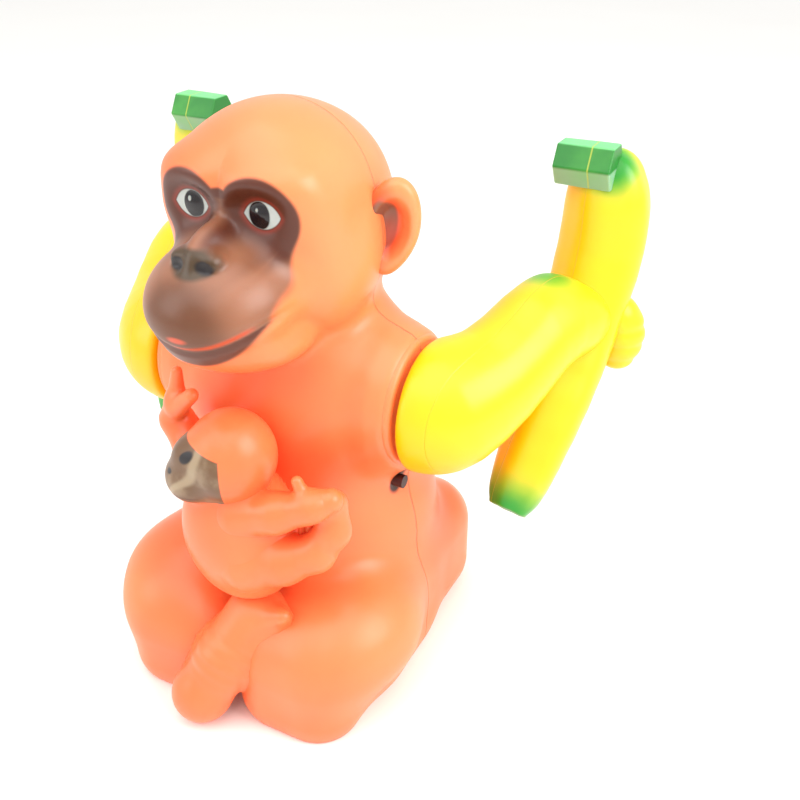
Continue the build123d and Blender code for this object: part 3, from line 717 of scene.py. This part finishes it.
arm = {
    # stations out from the shoulder, back and up from the axle, each with its radius
    "stations": [(1, 0, -1, 19.5), (8, 1, 0, 19.0), (18, 14, 6, 15.4), (26, 34, 16, 13.6),
                 (34, 54, 14, 11.0)],
    "knuckle": ((25.0, 36.0, 20.5), (8.0, 12.0, 10.0), (20, 0, 0)),
    "fist": [(43.5, 59, 14, 7.2), (45, 61, 7.5, 7.4), (44.5, 61.5, 0.5, 6.8)],
    "banana": [
        (35, 62, 57, 11), (35.5, 64, 45, 12.2), (34.5, 62, 28, 12.8), (32, 52, 6, 12.4),
        (30, 37.5, -14, 11.3), (27.5, 23, -33, 8.8), (26, 15.5, -41.5, 5.4),
    ],
    "facets": (5, 0.04, 0.6),
    "stalk": (30, 54, 64),
    "stalkHalf": 9.0,
    "stalkApothem": 6.5,
    "bevel": 0.5,
}


def fromShoulder(stations, count):
    # the stations on a smooth curve, carried out from the shoulder
    return [(shoulderX + x, y, axle[2] + z, r) for x, y, z, r in smoothLine(stations, count)]


armLine = fromShoulder(arm["stations"], 11)
bananaLine = fromShoulder(arm["banana"], 15)
fistLine = fromShoulder(arm["fist"], 4)
knuckleAt = np.array(arm["knuckle"][0]) + np.array([shoulderX, 0, axle[2]])


def armField(p):
    d = chain(p, armLine, 4)
    d = join(d, egg(p, knuckleAt, *arm["knuckle"][1:]), 7)
    return cut(d, p[..., 0] - armFaceX, 2.4)


def fistField(p):
    # three fingers laid round the banana
    d = chain(p, fistLine, 3)
    for rise in (-1.5, 4.5, 10.5):
        d = d + 0.5 * np.exp(-((p[..., 2] - axle[2] - rise) / 1.4) ** 2)
    return d


def bananaField(p):
    d = chain(p, bananaLine, 5)
    tip, before = np.array(bananaLine[-1][:3]), np.array(bananaLine[-2][:3])
    way = (tip - before) / np.linalg.norm(tip - before)
    return np.maximum(d, (p - tip) @ way - 1.5)


def mirroredPiece(piece, name):
    # the same mesh on the other side, with its faces turned back outwards
    mesh = piece.data.copy()
    mesh.transform(Matrix.Scale(-1, 4, (1, 0, 0)))
    mesh.flip_normals()
    twin = bpy.data.objects.new(name, mesh)
    bpy.context.scene.collection.objects.link(twin)
    return twin


def makeStalk(name):
    # a six-sided bar along X
    x, y, z = np.array(arm["stalk"]) + np.array([shoulderX, 0, axle[2]])
    phi = np.radians(np.arange(6) * 60.0)
    radius = arm["stalkApothem"] / math.cos(math.pi / 6)
    ends = np.array([-1.0, 0.24, 0.26, 1.0]) * arm["stalkHalf"]
    shrink = np.array([0.97, 1.0, 1.0, 1.0])
    points = np.stack([
        np.broadcast_to((x + ends)[:, None], (4, 6)),
        y + radius * shrink[:, None] * np.cos(phi), z + radius * shrink[:, None] * np.sin(phi)], -1)
    caps = np.array([[5, 4, 3, 2, 1, 0], [18, 19, 20, 21, 22, 23]])
    return makeMesh(name, points, [quadsOf(4, 6, 0, True, True), caps], False)


leftArm = closedTube("left_arm", fanTube(armField, armLine[2:], 90, 112, 40, 4.0))
leftFist = closedTube("left_fist", fanTube(fistField, fistLine, 60, 64, 16, 4.0, (1, 0, 0)))
bananaRings = fanTube(bananaField, bananaLine, 120, 80, 16, 4.0, (1, 0, 0), arm["facets"])
leftBanana = closedTube("left_banana", bananaRings)
leftStalk = makeStalk("left_stalk")
rightArm = mirroredPiece(leftArm, "right_arm")
rightFist = mirroredPiece(leftFist, "right_fist")
rightBanana = mirroredPiece(leftBanana, "right_banana")
rightStalk = mirroredPiece(leftStalk, "right_stalk")
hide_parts("left_arm_inner")
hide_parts("left_arm_outer")
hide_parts("right_arm_inner")
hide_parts("right_arm_outer")
armPieces = [leftArm, leftFist, leftBanana, rightArm, rightFist, rightBanana]
stalkPieces = [leftStalk, rightStalk]
for piece in stalkPieces:
    bevel = piece.modifiers.new("edges", "BEVEL")
    bevel.width = arm["bevel"] * mm
    bevel.segments = 3
for piece in armPieces + stalkPieces:
    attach(piece, "arms")
print("arms made")


# shader maths

class Wire:
    # an output socket: arithmetic on it adds the nodes

    def __init__(self, paint, socket):
        self.paint, self.socket = paint, socket

    def maths(self, operation, *values):
        return self.paint.node("ShaderNodeMath", {"operation": operation}, values)

    def __add__(self, other):
        return self.maths("ADD", self, other)

    def __radd__(self, other):
        return self.maths("ADD", other, self)

    def __sub__(self, other):
        return self.maths("SUBTRACT", self, other)

    def __rsub__(self, other):
        return self.maths("SUBTRACT", other, self)

    def __mul__(self, other):
        return self.maths("MULTIPLY", self, other)

    def __rmul__(self, other):
        return self.maths("MULTIPLY", other, self)

    def __truediv__(self, other):
        return self.maths("DIVIDE", self, other)

    def __abs__(self):
        return self.maths("ABSOLUTE", self)

    def root(self):
        return self.maths("SQRT", self)

    def atMost(self, other):
        return self.maths("MINIMUM", self, other)

    def atLeast(self, other):
        return self.maths("MAXIMUM", self, other)

    def between(self, low, high):
        # 0 at low and 1 at high, eased at both ends
        inputs = {"Value": self, "From Min": low, "From Max": high}
        return self.paint.node("ShaderNodeMapRange", {"interpolation_type": "SMOOTHSTEP"}, inputs)


def tone(red, green, blue):
    # a screen colour as the linear values that a shader takes
    def linear(v):
        v = v / 255
        return v / 12.92 if v <= 0.04045 else ((v + 0.055) / 1.055) ** 2.4
    return (linear(red), linear(green), linear(blue), 1.0)


class Paint:
    # one material and the place on the piece that its colours are worked out from

    def __init__(self, name):
        self.material = bpy.data.materials.new(name)
        self.material.use_nodes = True
        self.nodes = self.material.node_tree.nodes
        self.links = self.material.node_tree.links
        self.shader = self.nodes["Principled BSDF"]
        self.place = self.node("ShaderNodeTexCoord", {}, {}, "Object")
        parts = self.node("ShaderNodeSeparateXYZ", {}, [self.place])
        sockets = parts.socket.node.outputs
        self.x, self.y, self.z = [Wire(self, socket) * 1000.0 for socket in sockets]

    def node(self, kind, settings, inputs, output=0):
        made = self.nodes.new(kind)
        for key, value in settings.items():
            if key == "stops":
                for stop, (place, colour) in enumerate(value):
                    ramp = made.color_ramp
                    element = ramp.elements[stop] if stop < len(ramp.elements) else ramp.elements.new(place)
                    element.position, element.color = place, colour
            else:
                setattr(made, key, value)
        pairs = inputs.items() if isinstance(inputs, dict) else enumerate(inputs)
        for key, value in pairs:
            if isinstance(value, Wire):
                self.links.new(value.socket, made.inputs[key])
            else:
                made.inputs[key].default_value = value
        return Wire(self, made.outputs[output])

    def mix(self, first, second, factor):
        return self.node("ShaderNodeMix", {"data_type": "RGBA"}, {0: factor, 6: first, 7: second}, 2)

    def noise(self, scale, detail=3.0):
        return self.node("ShaderNodeTexNoise", {}, {"Vector": self.place, "Scale": scale, "Detail": detail})

    def oval(self, x, z, middle, half, turn=0.0):
        # how far outside an oval a place is, in millimetres
        c, s = math.cos(math.radians(turn)), math.sin(math.radians(turn))
        across, up = x - middle[0], z - middle[1]
        a = (across * c + up * s) / half[0]
        b = (up * c - across * s) / half[1]
        return ((a * a + b * b).root() - 1.0) * min(half)

    def set(self, **values):
        for key, value in values.items():
            socket = self.shader.inputs[key.replace("_", " ")]
            if isinstance(value, Wire):
                self.links.new(value.socket, socket)
            else:
                socket.default_value = value

    def bump(self, height, distance, strength=1.0):
        inputs = {"Height": height, "Distance": distance * mm, "Strength": strength}
        self.set(Normal=self.node("ShaderNodeBump", {}, inputs))


def inside(d, soft):
    # 1 inside an outline, 0 outside, over a soft edge
    return 1.0 - d.between(-soft, soft)


# the finishes

skinTones = {
    "base": tone(246, 112, 62),
    "pale": tone(253, 150, 94),
    "deep": tone(236, 94, 52),
    "mask": tone(84, 36, 17),
    "redRim": tone(150, 50, 34),
    "tan": tone(156, 102, 74),
    "brown": tone(96, 54, 28),
    "nose": tone(68, 48, 24),
    "dark": tone(24, 14, 16),
    "lip": tone(206, 86, 56),
    "lowerLip": tone(92, 44, 24),
    "white": tone(180, 184, 178),
    "iris": tone(24, 17, 20),
}
vinyl = {"Subsurface Weight": 0.22, "Subsurface Scale": 0.006}


def vinylBase(name, scatter=(1.0, 0.32, 0.16)):
    # soft vinyl: a little light runs inside it, and its surface is faintly uneven
    paint = Paint(name)
    shader = paint.shader
    for key, value in vinyl.items():
        shader.inputs[key].default_value = value
    shader.inputs["Subsurface Radius"].default_value = scatter
    return paint


def skinColour(paint):
    # flow marks, and a painted highlight: paler towards +x and upwards, where the light falls
    flow = paint.noise(16.0, 2.0).between(0.35, 0.7)
    colour = paint.mix(skinTones["base"], skinTones["pale"], flow * 0.45)
    colour = paint.mix(colour, skinTones["deep"], paint.noise(7.0, 2.0).between(0.52, 0.78) * 0.35)
    # painted highlight: the skin paler on the side and top where the window light falls
    paintedHighlight = (paint.x + paint.z * 0.5).between(55.0, 130.0) * 0.6
    return paint.mix(colour, skinTones["pale"], paintedHighlight)


def finishVinyl(paint, colour, relief=None, polish=None):
    # an uneven surface, with a relief in it, and polish where it shines more
    height = paint.noise(900.0, 2.0) * 0.25 + paint.noise(60.0, 3.0)
    if relief is not None:
        height = height - relief * 4.0
    roughness = paint.noise(40.0, 3.0).between(0.2, 0.9) * 0.14 + 0.3
    if polish is not None:
        roughness = roughness * (1.0 - polish)
    paint.set(Base_Color=colour, Roughness=roughness)
    paint.bump(height, 0.10, 0.35)


def partingLine(paint):
    # where the two shells meet
    return inside(abs(paint.y) - 0.16, 0.12)


def makeSkin():
    paint = vinylBase("orange_vinyl")
    seam = partingLine(paint)
    finishVinyl(paint, paint.mix(skinColour(paint), skinTones["deep"], seam * 0.4), seam)
    return paint.material


def paintedMask(paint, x, side, z):
    # the brown face: how far outside it a place is, and its colours as far as the mouth
    t = skinTones
    roundOut = paint.oval(side, z, *face["round"])
    muzzleOut = paint.oval(x, z, *face["muzzle"])
    # the two outlines run together, softened where they meet
    near = (0.5 + (muzzleOut - roundOut) * (0.5 / 5.0)).atLeast(0.0).atMost(1.0)
    outline = muzzleOut + (roundOut - muzzleOut) * near - near * (1.0 - near) * 5.0
    outline = outline.atMost(paint.oval(x, z, *face["browBridge"]))
    # dark round the eyes, tan as painted highlights on the cheeks and the nose bridge, browner on the muzzle
    rim = inside(abs(outline + 1.6) - 1.6, 1.0) * z.between(50.0, 54.0)
    eyeRound = inside(roundOut + 0.4, 1.8).atLeast(rim)
    lowered = inside(paint.oval(side, z, *face["lowered"]), 2.4)
    brownMuzzle = inside(paint.oval(x, z, *face["brown"]), 4.0)
    # painted highlight on the cheeks
    cheekHighlight = inside(paint.oval(side, z, *face["cheekHighlight"]), 4.0)
    colour = paint.mix(t["brown"], t["tan"], 0.35 + paint.noise(120.0, 4.0) * 0.3)
    colour = paint.mix(colour, t["tan"], (cheekHighlight * 0.8).atLeast(lowered * 0.7))
    colour = paint.mix(colour, t["brown"], brownMuzzle * 0.85)
    colour = paint.mix(colour, t["mask"], eyeRound * (1.0 - lowered * 0.85))
    # painted highlight along the nose bridge
    colour = paint.mix(colour, t["tan"], inside(paint.oval(x, z, *face["noseBridgeHighlight"]), 1.8) * 0.7)
    nose = inside(paint.oval(x, z, *face["nose"]), 0.7) * (1.0 - paint.y.between(-46.0, -43.0))
    colour = paint.mix(colour, t["nose"], nose)
    nostril = inside(paint.oval(side, z, *face["nostril"]), 0.4)
    return outline, paint.mix(colour, t["dark"], nostril)


def paintedMouth(paint, colour, outline, x, side, z):
    # a bright line along the upper lip, the lower lip under it, and a worn spot above
    t = skinTones
    lip = z - (x * x * face["lipBend"] + face["lipRise"])
    colour = paint.mix(colour, t["lowerLip"], inside(lip, 0.5) * inside(outline + 0.2, 0.6))
    line = inside(abs(lip - 1.0) - 0.7, 0.6) * inside(side - face["lipReach"], 1.2)
    colour = paint.mix(colour, t["lip"], line * 0.85)
    return paint.mix(colour, t["lip"], inside(paint.oval(x, z, *face["worn"]), 0.4) * 0.9)


def paintedEyes(paint, colour, x, side, z):
    # a red rim, the white with a corner drawn out, the dark iris and its glint
    t = skinTones
    eyeX, eyeZ = side - face["eye"][0], z - face["eye"][1]
    lens = paint.oval(eyeX, eyeZ, *face["lidUpper"]).atLeast(paint.oval(eyeX, eyeZ, *face["lidLower"]))
    colour = paint.mix(colour, t["redRim"], inside(lens - 1.0, 0.9) * 0.7)
    colour = paint.mix(colour, t["mask"], inside(lens - 0.3, 0.25) * 0.9)
    white = inside(lens, 0.2)
    colour = paint.mix(colour, t["white"], white)
    colour = paint.mix(colour, t["iris"], inside(paint.oval(eyeX, eyeZ, *face["iris"]), 0.25) * white)
    far, close = [paint.oval(x, z, *glint) for glint in face["glints"]]
    return white, paint.mix(colour, t["white"], inside(far.atMost(close), 0.2) * 0.9)


def makeFace():
    # the mother's front shell, with the brown face sprayed and brushed on
    paint = vinylBase("painted_face")
    x, z = paint.x, paint.z - float(axle[2])
    side = abs(x)
    outline, colour = paintedMask(paint, x, side, z)
    colour = paintedMouth(paint, colour, outline, x, side, z)
    white, colour = paintedEyes(paint, colour, x, side, z)
    mask = inside(outline, 0.6) * (1.0 - paint.y.between(-14.0, -12.0))
    seam = partingLine(paint)
    colour = paint.mix(skinColour(paint), colour, mask)
    colour = paint.mix(colour, skinTones["deep"], seam * 0.4)
    # the moulding's gate mark, and painted shade in the slot under the arm: dark in its opening, with a red
    # ring round it
    flank = paint.x.between(30.0, 36.0)
    gate = abs(paint.oval(paint.y, paint.z, *face["gate"])) - 0.35
    marks = inside(gate, 0.2) * flank * paint.y.between(-27.2, -26.4)
    colour = paint.mix(colour, skinTones["pale"], marks * 0.7)
    slot = paint.oval(paint.y, paint.z, mother["slot"][1:], *face["slot"])
    # painted shade: a red ring round the slot, then dark in its opening
    colour = paint.mix(colour, skinTones["redRim"], inside(slot - 0.5, 0.5) * flank * 0.7)
    colour = paint.mix(colour, skinTones["dark"], inside(slot, 0.3) * flank * 0.9)
    finishVinyl(paint, colour, seam + mask * -0.25, white * 0.7)
    return paint.material


babyPaint = {
    "shade": tone(104, 74, 46),
    "paler": tone(160, 140, 112),
    "front": 1.4,           # the mask starts this far ahead of the head's middle
    "crown": 101.0,         # heights from the floor
    "chin": 83.6,
    "mouth": 85.6,
    "spots": [((8.2, 100.0), (1.3, 2.1)), ((4.6, 93.2), (1.1, 0.9))],   # eyes and nostrils
}


def makeBabyFace():
    # a grey-brown mask with a pale band round each eye, in front of a plane across the head
    paint = vinylBase("painted_baby_face")
    x, y, z = paint.x, paint.y, paint.z
    middle, looks = baby["head"][0], baby["looks"]
    paints = babyPaint
    ahead = (x - middle[0]) * looks[0] + (y - middle[1]) * looks[1]
    side = abs((y - middle[1]) * looks[0] - (x - middle[0]) * looks[1])
    crown = z - paints["crown"] - (ahead - 1.3) * 0.28
    mask = inside((paints["front"] - ahead).atLeast(crown).atLeast(paints["chin"] - z), 0.3)
    mottled = paint.noise(140.0, 4.0).between(0.4, 0.75)
    colour = paint.mix(paints["shade"], paints["paler"], mottled * 0.55)
    bend = (z - 98.0) * (z - 98.0) * -0.035 + 10.3
    band = inside(abs(side - bend) - 0.8, 0.5) * ahead.between(2.0, 5.0)
    colour = paint.mix(colour, paints["paler"], band * 0.9)
    for spot, half in paints["spots"]:
        colour = paint.mix(colour, skinTones["iris"], inside(paint.oval(side, z, spot, half), 0.3))
    mouth = inside(abs(z - paints["mouth"]) - 0.25, 0.2) * ahead.between(8.0, 10.0)
    colour = paint.mix(colour, skinTones["dark"], mouth * 0.6)
    finishVinyl(paint, paint.mix(skinColour(paint), colour, mask), mask * -0.25)
    return paint.material


def makeEarSkin():
    # the bowl of the ear has a brushed crescent, with painted shade round it in the bowl
    paint = vinylBase("ear_vinyl")
    side = abs(paint.x)
    z = paint.z - float(axle[2])
    outer = paint.oval(side, z, (30.6, 54.6), (3.2, 8.4), -6.0)
    front = 1.0 - paint.y.between(4.0, 5.5)
    # painted shade: deeper orange in the bowl round the crescent
    colour = paint.mix(skinColour(paint), skinTones["deep"], inside(outer - 1.4, 1.6) * front * 0.9)
    painted = paint.mix(tone(168, 70, 44), tone(112, 84, 66), z.between(50.0, 60.0))
    colour = paint.mix(colour, painted, inside(outer, 0.6) * front * 0.9)
    finishVinyl(paint, colour)
    return paint.material


armTones = {
    "yellow": tone(240, 194, 0),
    "lemon": tone(242, 212, 4),
    "warm": tone(244, 174, 0),
    "green": tone(36, 146, 36),
    "paleGreen": tone(150, 206, 60),
    "scatter": (1.0, 0.85, 0.2),
}


def sprayed(paint, middle, reachOut, start=0.0):
    # a soft round of sprayed colour about a place on either side
    x, y, z = abs(paint.x) - middle[0], paint.y - middle[1], paint.z - middle[2]
    far = (x * x + y * y + z * z).root()
    return 1.0 - (far + (paint.noise(90.0, 3.0) - 0.5) * 3.0).between(start, reachOut)


def partingSeam(paint):
    # the line where the two halves of an arm meet
    return inside(abs((abs(paint.x) - paint.y * 0.28 - 60.0) / 1.0385) - 0.12, 0.12)


def yellowColour(paint):
    flow = paint.noise(14.0, 2.0)
    colour = paint.mix(armTones["yellow"], armTones["warm"], flow.between(0.45, 0.75) * 0.6)
    return paint.mix(colour, armTones["lemon"], paint.noise(22.0, 2.0).between(0.5, 0.8) * 0.5)


def makeArmSkin():
    paint = vinylBase("yellow_vinyl", armTones["scatter"])
    knuckle = [float(v) for v in knuckleAt + np.array([0.5, 3.0, 10.0])]
    spray = sprayed(paint, knuckle, 14.0, 2.5)
    colour = paint.mix(yellowColour(paint), armTones["paleGreen"], spray * 0.8)
    colour = paint.mix(colour, armTones["green"], spray * spray * 0.75)
    seam = partingSeam(paint)
    colour = paint.mix(colour, armTones["warm"], seam * 0.5)
    finishVinyl(paint, colour, seam)
    return paint.material


def makeBananaSkin():
    paint = vinylBase("banana_vinyl", armTones["scatter"])
    top = [float(v) for v in np.array(arm["stalk"]) + np.array([shoulderX + 7.0, 3.0, axle[2] - 1.0])]
    tip = [float(v) for v in np.array(bananaLine[-1][:3])]
    colour = yellowColour(paint)
    for place, near, far in ((top, 4.0, 14.0), (tip, 6.0, 19.0)):
        spray = sprayed(paint, place, far, near)
        colour = paint.mix(colour, armTones["paleGreen"], spray * 0.9)
        colour = paint.mix(colour, armTones["green"], spray * spray)
    seam = partingSeam(paint)
    colour = paint.mix(colour, tone(190, 170, 20), seam * 0.6)
    finishVinyl(paint, colour, seam)
    return paint.material


def makeStalkSkin():
    # saturated in front, with painted light on the other facets: the top facet lighter, the lower facets
    # paler
    paint = vinylBase("stalk_vinyl", armTones["scatter"])
    y, z = paint.y - (arm["stalk"][1]), paint.z - float(axle[2] + arm["stalk"][2])
    # painted highlight: the top facet lighter
    colour = paint.mix(tone(12, 116, 26), tone(112, 200, 128), z.between(6.0, 6.4) * 0.85)
    # painted light: the facets below the middle paler
    colour = paint.mix(colour, tone(142, 184, 148), (1.0 - z.between(-0.9, 0.1)) * 0.85)
    colour = paint.mix(colour, tone(96, 190, 70), paint.noise(60.0, 3.0).between(0.5, 0.8) * 0.3)
    seam = inside(abs(abs(paint.x) - 75.2) - 0.2, 0.2)
    colour = paint.mix(colour, tone(178, 190, 70), seam * 0.8)
    finishVinyl(paint, colour, seam)
    return paint.material


def makePlain(name, colour, roughness, metallic=0.0):
    # plastic or metal with a faint mottle
    paint = Paint(name)
    dark = tuple(v * 0.82 for v in colour[:3]) + (1.0,)
    spots = paint.noise(480.0, 4.0)
    paint.set(Base_Color=paint.mix(colour, dark, spots.between(0.3, 0.8)),
              Roughness=spots * 0.18 + (roughness - 0.09), Metallic=metallic)
    paint.bump(paint.noise(1200.0, 3.0), 0.05, 0.3)
    return paint.material


slotFinish = {
    "base_plastic": makePlain("base_plastic", tone(240, 120, 72), 0.5),
    "key_plastic": makePlain("key_plastic", tone(238, 232, 214), 0.35),
    "lever_plastic": makePlain("lever_plastic", tone(58, 22, 20), 0.5),
    "gear_plastic": makePlain("gear_plastic", tone(236, 234, 224), 0.45),
    "plate_steel": makePlain("plate_steel", tone(188, 188, 190), 0.34, 1.0),
    "spring_steel": makePlain("spring_steel", tone(92, 98, 112), 0.28, 1.0),
    "shaft_steel": makePlain("shaft_steel", tone(206, 206, 208), 0.22, 1.0),
    "screw_steel": makePlain("screw_steel", tone(204, 204, 196), 0.3, 1.0),
}
for entry in frame["record"]["subparts"]:
    if entry["material_slot"] in slotFinish:
        mesh = nodes[entry["node"]].data
        mesh.materials.clear()
        mesh.materials.append(slotFinish[entry["material_slot"]])

basePlate.data.materials.append(slotFinish["base_plastic"])
baseScrews.data.materials.append(slotFinish["screw_steel"])
skin = makeSkin()
for piece in bodyPieces:
    piece.data.materials.append(skin)
frontShell.data.materials[0] = makeFace()
babyHead.data.materials[0] = makeBabyFace()
earSkin = makeEarSkin()
for piece in bodyPieces:
    if piece.name.startswith("ear"):
        piece.data.materials[0] = earSkin
armSkin, bananaSkin, stalkSkin = makeArmSkin(), makeBananaSkin(), makeStalkSkin()
for piece in armPieces:
    piece.data.materials.append(bananaSkin if "banana" in piece.name else armSkin)
for piece in stalkPieces:
    piece.data.materials.append(stalkSkin)
print("finishes made")


# camera, floor and light

view = {
    "azimuth": 27.3,
    "elevation": 30.0,
    "place": (155.0, -230.2, 250.0),
    "lens": 43.05,
}

cameraData = bpy.data.cameras.new("view")
cameraData.lens = view["lens"]
cameraData.sensor_width = 36
camera = bpy.data.objects.new("view", cameraData)
bpy.context.scene.collection.objects.link(camera)
camera.location = Vector(view["place"]) * mm
camera.rotation_euler = (math.radians(90 - view["elevation"]), 0, math.radians(view["azimuth"]))
bpy.context.scene.camera = camera

floorHalf = 3000.0
floor = makeMesh("floor", [(-floorHalf, -floorHalf, 0), (floorHalf, -floorHalf, 0), (floorHalf, floorHalf, 0),
                           (-floorHalf, floorHalf, 0)], [np.array([[0, 1, 2, 3]])], False)
floor.location.z = -0.05 * mm
floorPaint = Paint("pale_floor")
floorPaint.set(Base_Color=floorPaint.mix(tone(250, 249, 246), tone(246, 244, 240), floorPaint.noise(3.0)))
floorPaint.set(Roughness=0.6)
floor.data.materials.append(floorPaint.material)

lamps = {
    "skylight": {"place": (-0.05, -0.25, 0.85), "size": 0.9, "power": 5.0},
    "window": {"place": (0.65, 0.0, 0.55), "size": 0.5, "power": 4.5},
    "front": {"place": (-0.55, -0.55, 0.45), "size": 0.45, "power": 1.5},
}
for name, lamp in lamps.items():
    data = bpy.data.lights.new(name, "AREA")
    data.size = lamp["size"]
    data.energy = lamp["power"]
    light = bpy.data.objects.new(name, data)
    bpy.context.scene.collection.objects.link(light)
    light.location = lamp["place"]
    light.rotation_euler = (Vector((0, 0, 0.09)) - light.location).to_track_quat("-Z", "Y").to_euler()

world = bpy.data.worlds.new("room")
world.use_nodes = True
background = world.node_tree.nodes["Background"]
background.inputs["Color"].default_value = (1, 1, 1, 1)
background.inputs["Strength"].default_value = 1.0
bpy.context.scene.world = world
bpy.context.scene.view_settings.view_transform = "Standard"
